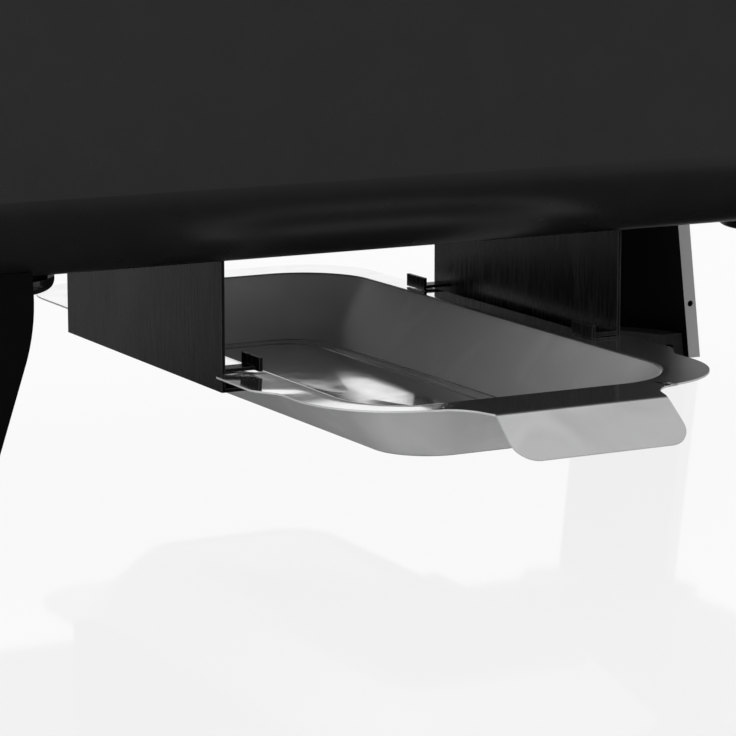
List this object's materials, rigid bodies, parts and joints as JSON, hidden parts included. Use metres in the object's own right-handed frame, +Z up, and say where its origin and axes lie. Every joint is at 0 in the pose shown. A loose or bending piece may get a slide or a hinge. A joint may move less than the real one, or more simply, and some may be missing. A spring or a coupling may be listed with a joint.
{
  "type": "hybrid grill",
  "caption": "Table-top electric and charcoal grill: rounded black tub on corner legs, lift-out grates and element, grease tray sliding in runners below.",
  "frame": {"origin": "on the table, under the middle of the whole grill's footprint", "axes": "+X to the right end with the control box, +Y to the back, +Z up"},
  "size_m": [0.711, 0.3908, 0.2356],
  "materials": {
    "body_enamel": "satin black enamel, finely mottled",
    "bowl_enamel": "black vitreous enamel",
    "drain_steel": "turned steel",
    "runner_enamel": "gloss black enamel",
    "tray_metal": "polished pressed sheet",
    "leg_plastic": "moulded black phenolic",
    "foot_rubber": "black rubber",
    "gloss_black": "gloss black",
    "zinc_steel": "zinc plated",
    "dark_steel": "blackened",
    "grate_iron": "seasoned cast iron",
    "coal_steel": "dark rolled steel",
    "element_steel": "heat-tinted tube",
    "bracket_steel": "plain sheet",
    "control_plastic": "fine grained black",
    "inlet_plastic": "smooth black",
    "inner_plastic": "plain moulded",
    "lamp_red": "clear red",
    "pin_brass": "plated",
    "handle_chrome": "bright",
    "grip_plastic": "ribbed black phenolic",
    "damper_steel": "plain sheet",
    "rail_enamel": "black"
  },
  "bodies": {
    "root": {"casing": "body_enamel", "fire_bowl": "bowl_enamel", "drain_spout": "drain_steel", "left_runner": "runner_enamel", "right_runner": "runner_enamel", "runner_screws": "zinc_steel", "runner_nuts": "zinc_steel", "leg_front_left": "leg_plastic", "leg_front_right": "leg_plastic", "leg_rear_left": "leg_plastic", "leg_rear_right": "leg_plastic", "foot_front_left": "foot_rubber", "foot_front_right": "foot_rubber", "foot_rear_left": "foot_rubber", "foot_rear_right": "foot_rubber", "leg_bosses": "gloss_black", "leg_bolts": "zinc_steel", "leg_nuts": "zinc_steel", "foot_screws": "dark_steel", "left_handle": "handle_chrome", "right_handle": "handle_chrome", "left_grip": "grip_plastic", "right_grip": "grip_plastic", "handle_bolts": "zinc_steel", "damper_rails": "rail_enamel", "damper_rivets": "zinc_steel"},
    "tray": {"drip_tray": "tray_metal"},
    "charcoal_grate": {"charcoal_grate": "coal_steel"},
    "element_unit": {"heating_element": "element_steel", "element_ties": "bracket_steel", "element_plate": "bracket_steel", "control_housing": "control_plastic", "control_cover": "control_plastic", "control_screws": "zinc_steel", "thermostat": "inner_plastic", "lamp_lens": "lamp_red", "power_inlet": "inlet_plastic", "inlet_pins": "pin_brass", "terminal_block": "inner_plastic"},
    "thermostat_knob": {"knob": "gloss_black", "knob_shaft": "zinc_steel"},
    "grill_grate": {"grill_grate": "grate_iron"},
    "left_damper": {"left_damper": "damper_steel", "left_damper_knob": "gloss_black"},
    "right_damper": {"right_damper": "damper_steel", "right_damper_knob": "gloss_black"}
  },
  "joints": [
    {"name": "tray_slide", "type": "slide", "parent": "root", "child": "tray", "axis": [0, -1, 0], "range_m": [0, 0.18]},
    {"name": "charcoal_lift", "type": "slide", "parent": "root", "child": "charcoal_grate", "axis": [0, 0, 1], "range_m": [0, 0.15]},
    {"name": "element_lift", "type": "slide", "parent": "charcoal_grate", "child": "element_unit", "axis": [0, 0, 1], "range_m": [0, 0.12]},
    {"name": "grate_lift", "type": "slide", "parent": "element_unit", "child": "grill_grate", "axis": [0, 0, 1], "range_m": [0, 0.1]},
    {"name": "knob_turn", "type": "hinge", "parent": "element_unit", "child": "thermostat_knob", "pos_m": [0.285, 0.03262, 0.22], "axis": [0, 0, -1], "range_deg": [0, 270]},
    {"name": "left_damper_slide", "type": "slide", "parent": "root", "child": "left_damper", "axis": [-1, 0, 0], "range_m": [0, 0.01]},
    {"name": "right_damper_slide", "type": "slide", "parent": "root", "child": "right_damper", "axis": [1, 0, 0], "range_m": [0, 0.01]}
  ]
}
